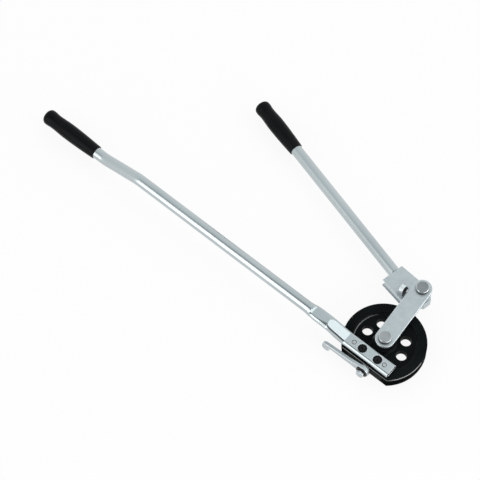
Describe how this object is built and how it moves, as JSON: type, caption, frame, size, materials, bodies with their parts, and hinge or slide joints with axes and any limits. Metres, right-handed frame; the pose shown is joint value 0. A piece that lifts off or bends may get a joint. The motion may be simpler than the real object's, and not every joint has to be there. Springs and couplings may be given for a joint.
{
  "type": "lever tube bender",
  "caption": "Hand lever tube bender: grooved half-round form on a long set handle, link plate, grooved shoe with its own lever, and a swinging hook that holds the tube.",
  "frame": {"origin": "hub axis at the middle of the form's thickness", "axes": "+X away from the fixed handle's grip and parallel to that handle, +Y away from the form's flat, +Z out of the face that carries the link plate"},
  "size_m": [0.8544, 0.3259, 0.0588],
  "materials": {
    "form_black": "satin black",
    "handle_chrome": "satin plated",
    "zinc_plate": "matt zinc plated",
    "plain_steel": "machined",
    "black_steel": "black oxide",
    "bronze": "machined",
    "grip_black": "moulded satin"
  },
  "bodies": {
    "form": {"form_wheel": "form_black", "hub_bush": "bronze", "handle_foot": "handle_chrome", "fixed_handle": "handle_chrome", "seat_filler": "plain_steel", "seat_screws": "black_steel", "seat_dowels": "plain_steel", "fixed_grip": "grip_black", "hook_spacer": "zinc_plate", "hook_bolt": "zinc_plate", "hook_washer": "black_steel"},
    "link": {"link_plate": "zinc_plate", "hub_pin": "plain_steel", "hub_collar": "plain_steel", "hub_washer": "zinc_plate", "hub_ring": "black_steel", "shoe_pin": "plain_steel", "shoe_collar": "zinc_plate", "shoe_washer": "zinc_plate", "shoe_ring": "black_steel"},
    "lever": {"shoe_block": "zinc_plate", "shoe_bush": "bronze", "lever_stub": "plain_steel", "lever_tube": "handle_chrome", "lever_cross_pin": "plain_steel", "lever_grip_cover": "grip_black", "stop_lug": "zinc_plate", "stop_screw": "black_steel", "stop_nut": "black_steel"},
    "hook": {"hook_bar": "zinc_plate"}
  },
  "joints": [
    {"name": "link_swing", "type": "hinge", "parent": "form", "child": "link", "pos_m": [0, 0, 0], "axis": [0, 0, 1], "range_deg": [-80, 25]},
    {"name": "shoe_swing", "type": "hinge", "parent": "link", "child": "lever", "pos_m": [-0.01004, 0.11958, 0], "axis": [0, 0, 1], "range_deg": [-110, 0]},
    {"name": "hook_swing", "type": "hinge", "parent": "form", "child": "hook", "pos_m": [0.0025, -0.0625, 0], "axis": [0, -1, 0], "range_deg": [-40, 220]}
  ]
}
